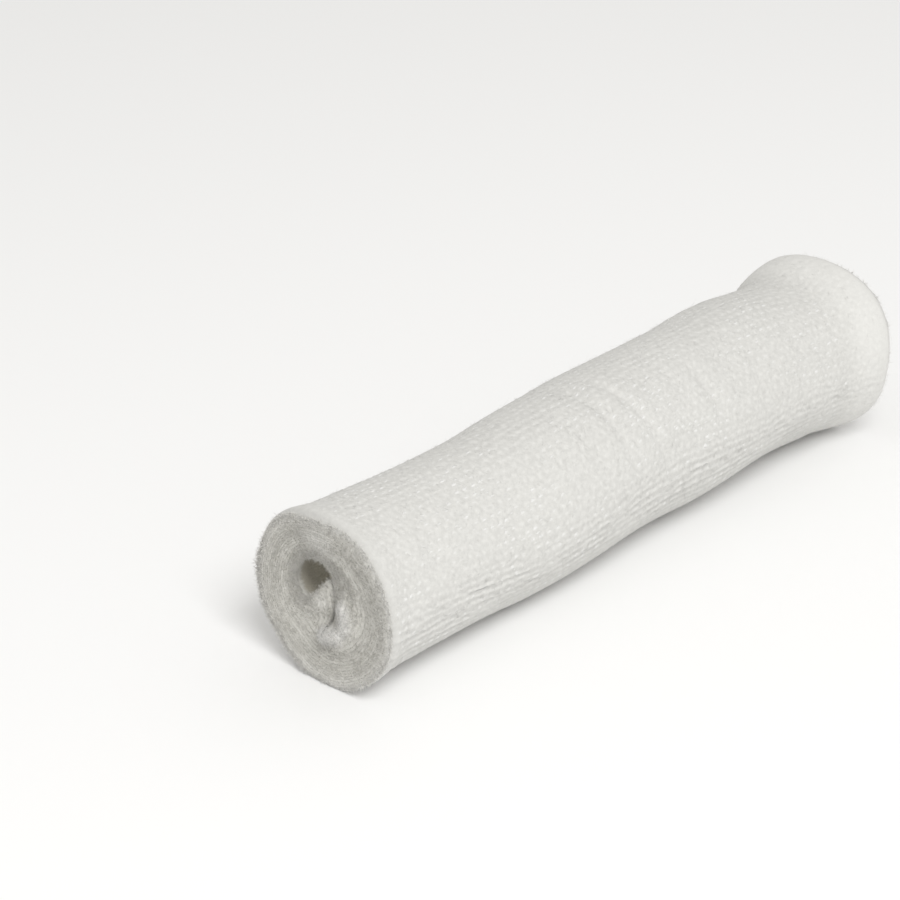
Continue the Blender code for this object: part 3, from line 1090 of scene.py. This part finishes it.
# Colour of the yarn's lighter mottling and of the painted highlight on its crests.
YARN_LIGHT_AND_CREST_HIGHLIGHT = (0.80, 0.80, 0.785, 1.0)
FIBRE_SHADE = (0.66, 0.645, 0.60, 1.0)
FIBRE_LIGHT = (0.79, 0.775, 0.735, 1.0)
HAIR_WHITE = (0.80, 0.80, 0.785, 1.0)

SOFT = {
    "Specular_IOR_Level": 0.15,
    "Sheen_Weight": 0.15,
    "Sheen_Roughness": 0.6,
}

# Where each change of a finish starts and ends: in millimetres from the strip's cut edge,
KNIT_SHOWS = (1.5, 4.0)
RIM_PAINTED_SHADE_SPAN = (0.2, 1.8)
CUT_EDGE = (0.3, 1.6)
HOLLOW_SHOWS = (0.5, 1.8)
HOLLOW_DEEPENS = (3.0, 7.0)
# in shares of the winding,
OUTER_TURN = (0.90, 0.97)
HOLLOW_TURNS = (0.14, 0.18)
# in stitches from the neat end,
PLAIN_END = (STITCHES - 6.0, STITCHES - 3.0)
# in shares of the way to an end's rim,
RIM_FLUFF_AND_LIGHT_SPAN = (0.74, 1.0)
# in millimetres that a fold rises or a crease goes in,
RAISED = (0.2, 1.4)
SUNKEN = (0.2, 1.2)
# and in a noise, which this makes patchy.
PATCHY = (0.3, 0.7)

STITCH_WANDER = 1.6       # how far noise moves the knit's soft dashes, in stitches
ROW_WANDER = 1.1          # and in rows


class Tone:
    """A number in a material, as a socket. Arithmetic on it adds the Math nodes."""

    def __init__(self, finish, socket):
        self.finish = finish
        self.socket = socket

    def math(self, operation, first, second):
        """A Math node of two tones or numbers."""
        return self.finish.node("ShaderNodeMath", {"operation": operation}, {0: first, 1: second})

    def __add__(self, other):
        return self.math("ADD", self, other)

    def __radd__(self, other):
        return self.math("ADD", other, self)

    def __sub__(self, other):
        return self.math("SUBTRACT", self, other)

    def __rsub__(self, other):
        return self.math("SUBTRACT", other, self)

    def __mul__(self, other):
        return self.math("MULTIPLY", self, other)

    def __rmul__(self, other):
        return self.math("MULTIPLY", other, self)


class Finish:
    """A material built by expressions, with one Principled shader."""

    def __init__(self, name, **constants):
        self.material = bpy.data.materials.new(name)
        self.material.use_nodes = True
        self.tree = self.material.node_tree
        self.shader = self.tree.nodes["Principled BSDF"]
        for label, value in constants.items():
            self.shader.inputs[label.replace("_", " ")].default_value = value

    def node(self, kind, settings, inputs, output=0):
        """Adds a node: settings are set first, then values or links go to its sockets."""
        node = self.tree.nodes.new(kind)
        for label, value in settings.items():
            setattr(node, label, value)
        for key, value in inputs.items():
            self.feed(node.inputs[key], value)
        return Tone(self, node.outputs[output])

    def feed(self, socket, value):
        """Links a tone to a socket, or sets the socket's own value."""
        if isinstance(value, Tone):
            self.tree.links.new(value.socket, socket)
        else:
            socket.default_value = value

    def coordinates(self, stretch=(1.0, 1.0, 1.0)):
        """Places on the object in metres, stretched along each axis."""
        place_on = self.node("ShaderNodeTexCoord", {}, {}, "Object")
        scale = {"operation": "MULTIPLY"}
        return self.node("ShaderNodeVectorMath", scale, {0: place_on, 1: stretch})

    def noise(self, size, detail=2.0, roughness=0.5, stretch=(1.0, 1.0, 1.0)):
        """Cloudy variation from 0 to 1 with features of a size in millimetres."""
        sockets = {
            "Vector": self.coordinates(stretch),
            "Scale": 1.0 / (size * MM),
            "Detail": detail,
            "Roughness": roughness,
        }
        return self.node("ShaderNodeTexNoise", {}, sockets, "Fac")

    def attribute(self, label):
        """A number that the mesh holds for each point."""
        return self.node("ShaderNodeAttribute", {"attribute_name": label}, {}, "Fac")

    def ramp(self, tone, start, end):
        """Smooth step of a tone from 0 at start to 1 at end."""
        settings = {"interpolation_type": "SMOOTHSTEP"}
        sockets = {"Value": tone, "From Min": start, "From Max": end}
        return self.node("ShaderNodeMapRange", settings, sockets)

    def cosine(self, tone):
        """Cosine of a tone in radians."""
        return self.node("ShaderNodeMath", {"operation": "COSINE"}, {0: tone})

    def blend(self, amount, first, second):
        """Colour between two colours."""
        settings = {"data_type": "RGBA", "clamp_factor": True}
        return self.node("ShaderNodeMix", settings, {0: amount, 6: first, 7: second}, 2)

    def folded(self, colour):
        """The colour made lighter near an end's rim, by its lighter fluff and by painted light on
        the rounded rim, lighter on its raised folds, by their bare cloth and by painted light,
        and darker in its creases by painted shade."""
        rise = self.attribute("rise")
        fluff_and_painted_light = self.ramp(self.attribute("rim"), *RIM_FLUFF_AND_LIGHT_SPAN)
        colour = self.blend(fluff_and_painted_light * 0.8, colour, RIM_FLUFF_AND_PAINTED_LIGHT)
        colour = self.blend(self.ramp(rise, *RAISED), colour, FOLD_CLOTH_AND_PAINTED_LIGHT)
        return self.blend(self.ramp(rise * -1.0, *SUNKEN), colour, CREASE_PAINTED_SHADE)

    def relief(self, height, distance):
        """Bumps of a distance in millimetres feed the shader's normal."""
        sockets = {"Height": height, "Distance": distance * MM}
        bump = self.node("ShaderNodeBump", {}, sockets, "Normal")
        self.feed(self.shader.inputs["Normal"], bump)

    def colour(self, tone):
        """Sets the shader's own colour."""
        self.feed(self.shader.inputs["Base Color"], tone)

    def rough(self, tone):
        """Sets how rough the shader is."""
        self.feed(self.shader.inputs["Roughness"], tone)


def cloth_finish():
    """The strip: cotton mottled by its fibres and by its knit, and fluffier at its edges, with
    painted light and shade at its rims, on the folds and in the hollow of its end.

    Between the yarns that stand up, the knit shows as soft lighter and darker dashes. They
    are cos(2 pi stitch) cos(pi row) (1 + cos(2 pi row)) / 2, a lattice whose rows are
    staggered by half a stitch, and along each row there is a soft line, cos(2 pi row).
    Where the rows stand up as ridges that line is much stronger, as painted light on the
    ridges' crests and painted shade between them.
    """
    finish = Finish("gauze_cloth", **SOFT)
    from_edge, winding = finish.attribute("from_edge"), finish.attribute("winding")
    fibres = finish.noise(0.3, detail=4.0, roughness=0.65)
    tufts = finish.ramp(finish.noise(0.8), *PATCHY)
    clouds = finish.noise(7.0)

    stitch = finish.attribute("stitch") + (finish.noise(3.0) - 0.5) * STITCH_WANDER
    row = finish.attribute("row") + (finish.noise(2.2) - 0.5) * ROW_WANDER
    lines = finish.cosine(row * math.tau)
    spots = finish.cosine(stitch * math.tau) * finish.cosine(row * math.pi) * (0.5 + lines * 0.5)
    # The ridge number strengthens the row lines: painted light on the ridges' crests and painted
    # shade between them.
    knit = spots * 0.6 + lines * (0.15 + 1.1 * finish.attribute("ridge"))
    knit = knit * finish.ramp(from_edge, *KNIT_SHOWS)
    tone = fibres * 0.4 + tufts * 0.45 + clouds * 0.2 + knit * 0.4 - 0.02

    skin = finish.blend(tone, CLOTH_SHADE, CLOTH_LIGHT)
    # Towards the flared end the skin is blended half way to a lighter colour.
    plain = finish.ramp(finish.attribute("stitch"), *PLAIN_END)
    skin = finish.blend(plain * 0.5, skin, FLARED_END_LIGHTER)
    # Painted shade on the skin as it rounds over each rim, darkest at the cut edge.
    skin = finish.blend((1.0 - finish.ramp(from_edge, *RIM_PAINTED_SHADE_SPAN)) * 0.5, skin, RIM_PAINTED_SHADE)

    # The cut edges, with the painted light and shade that folded() adds.
    cut = finish.folded(finish.blend(finish.ramp(fibres, *PATCHY), EDGE_SHADE, EDGE_LIGHT))
    wound_in = 1.0 - finish.ramp(winding, *OUTER_TURN)
    cloth = finish.blend((1.0 - finish.ramp(from_edge, *CUT_EDGE)) * wound_in, skin, cut)

    # Painted shade on the hollow's walls near its mouth, and painted light deeper in.
    hollow_paint = finish.blend(finish.ramp(from_edge, *HOLLOW_DEEPENS), HOLLOW_MOUTH_PAINTED_SHADE, HOLLOW_DEEP_PAINTED_LIGHT)
    hollow = 1.0 - finish.ramp(winding, *HOLLOW_TURNS)
    finish.colour(finish.blend(hollow * finish.ramp(from_edge, *HOLLOW_SHOWS), cloth, hollow_paint))
    finish.rough(0.88 + fibres * 0.12)
    finish.relief(fibres * 0.12 + knit * 0.08, 1.0)
    return finish.material


def yarn_finish():
    """Stitch yarn: fuller where it rises, and brighter there by a painted highlight on its
    crests, with fine lengthwise fibres.
    """
    finish = Finish("stitch_yarn", **SOFT)
    fibres = finish.noise(0.16, detail=3.0, roughness=0.6, stretch=(0.35, 1.0, 1.0))
    clouds = finish.noise(9.0)
    # The crest gives a painted highlight; the fibres and clouds give the yarn's own mottling.
    light = finish.attribute("crest") * 0.75 + fibres * 0.35 + clouds * 0.25 - 0.2
    finish.colour(finish.blend(light, YARN_SHADE, YARN_LIGHT_AND_CREST_HIGHLIGHT))
    finish.rough(0.8 + fibres * 0.15)
    finish.relief(fibres, 0.05)
    return finish.material


def fibre_finish(name, shade, light):
    """Single loose fibres, in soft patches of two shades."""
    finish = Finish(name, **SOFT)
    patches = finish.ramp(finish.noise(1.2, roughness=0.6), *PATCHY)
    # folded() adds the painted light and shade of the rim, the folds and the creases.
    finish.colour(finish.folded(finish.blend(patches, shade, light)))
    finish.rough(0.75 + patches * 0.1)
    return finish.material


# ---- Camera, floor and light ---------------------------------------------------------

CAMERA_AZIMUTH = math.radians(-50.405)
CAMERA_ELEVATION = math.radians(26.796)
CAMERA_DISTANCE = 600.0
CAMERA_AIM = (MIDDLE, 0.0, 17.8)
CAMERA_TURN = math.radians(2.952)     # the view is turned off the roll's middle
CAMERA_TILT = math.radians(0.185)
NEAREST_SEEN = 10.0
SENSOR = 36.0
LENS = 121.36

FLOOR_SIZE = 6.0          # metres, as for the lamp's distance and size
FLOOR_COLOUR = (0.95, 0.95, 0.95, 1.0)
SKY_COLOUR = (1.0, 0.99, 0.965, 1.0)
SKY_STRENGTH = 0.64
LAMP_AZIMUTH = math.radians(-31.0)
LAMP_ELEVATION = math.radians(48.0)
LAMP_DISTANCE = 1.3
LAMP_SIZE = 0.55
LAMP_POWER = 9.2


def direction(azimuth, elevation):
    """Unit vector towards a compass angle, 0 at -Y and growing towards +X."""
    level = math.cos(elevation)
    return Vector((math.sin(azimuth) * level, -math.cos(azimuth) * level, math.sin(elevation)))


def make_camera():
    """Camera at the photograph's viewing angle."""
    back = direction(CAMERA_AZIMUTH, CAMERA_ELEVATION)
    data = bpy.data.cameras.new("camera")
    data.sensor_width = SENSOR
    data.lens = LENS
    data.clip_start = NEAREST_SEEN * MM
    camera = bpy.data.objects.new("camera", data)
    camera.location = (Vector(CAMERA_AIM) + back * CAMERA_DISTANCE) * MM
    forward = direction(CAMERA_AZIMUTH + CAMERA_TURN, CAMERA_ELEVATION - CAMERA_TILT) * -1.0
    camera.rotation_euler = forward.to_track_quat("-Z", "Y").to_euler()
    bpy.context.scene.collection.objects.link(camera)
    bpy.context.scene.camera = camera


def make_floor():
    """A plain pale floor."""
    mesh = bpy.data.meshes.new("floor")
    half = FLOOR_SIZE / 2
    corners = [(-half, -half, 0.0), (half, -half, 0.0), (half, half, 0.0), (-half, half, 0.0)]
    mesh.from_pydata(corners, [], [(0, 1, 2, 3)])
    floor = bpy.data.objects.new("floor", mesh)
    finish = Finish("floor_white", Roughness=0.9, Specular_IOR_Level=0.1)
    finish.colour(FLOOR_COLOUR)
    mesh.materials.append(finish.material)
    bpy.context.scene.collection.objects.link(floor)


def make_light():
    """A soft square lamp, high and to the camera's right, and an even pale sky."""
    data = bpy.data.lights.new("key_lamp", "AREA")
    data.energy = LAMP_POWER
    data.size = LAMP_SIZE
    lamp = bpy.data.objects.new("key_lamp", data)
    towards = direction(LAMP_AZIMUTH, LAMP_ELEVATION)
    lamp.location = towards * LAMP_DISTANCE
    lamp.rotation_euler = towards.to_track_quat("Z", "Y").to_euler()
    bpy.context.scene.collection.objects.link(lamp)
    world = bpy.data.worlds.new("sky")
    world.use_nodes = True
    background = world.node_tree.nodes["Background"]
    background.inputs["Color"].default_value = SKY_COLOUR
    background.inputs["Strength"].default_value = SKY_STRENGTH
    bpy.context.scene.world = world
    bpy.context.scene.view_settings.view_transform = "Standard"


# ---- Making it all -------------------------------------------------------------------

SEED = 7


def make_roll():
    """Every piece of the roll."""
    random = np.random.default_rng(SEED)
    cloth = cloth_finish()
    yarn = yarn_finish()
    fibre = fibre_finish("edge_fibre", FIBRE_SHADE, FIBRE_LIGHT)
    hair = fibre_finish("skin_fibre", YARN_SHADE, HAIR_WHITE)
    bandage, length = make_bandage(cloth)
    rows = np.arange(ROWS)
    on_it = [
        make_rows("stitch_rows_even", rows[::2], STITCH_YARN, yarn, random),
        make_rows("stitch_rows_odd", rows[1::2], STITCH_YARN, yarn, random),
        make_rows("rows_between", rows + 0.5, FINER_YARN, yarn, random),
        make_binders(yarn, random),
    ]
    on_it += [end_felt(*counts, fibre, random) for counts in FELT_COUNTS]
    on_it += [end_fluff(*counts, fibre, random) for counts in FLUFF_COUNTS]
    on_it += [rim_tufts(*counts, fibre, random) for counts in TUFT_COUNTS]
    on_it.append(skin_fuzz("fuzz_outer_turn", FUZZ_COUNT, hair, random))


make_roll()
make_floor()
make_light()
make_camera()
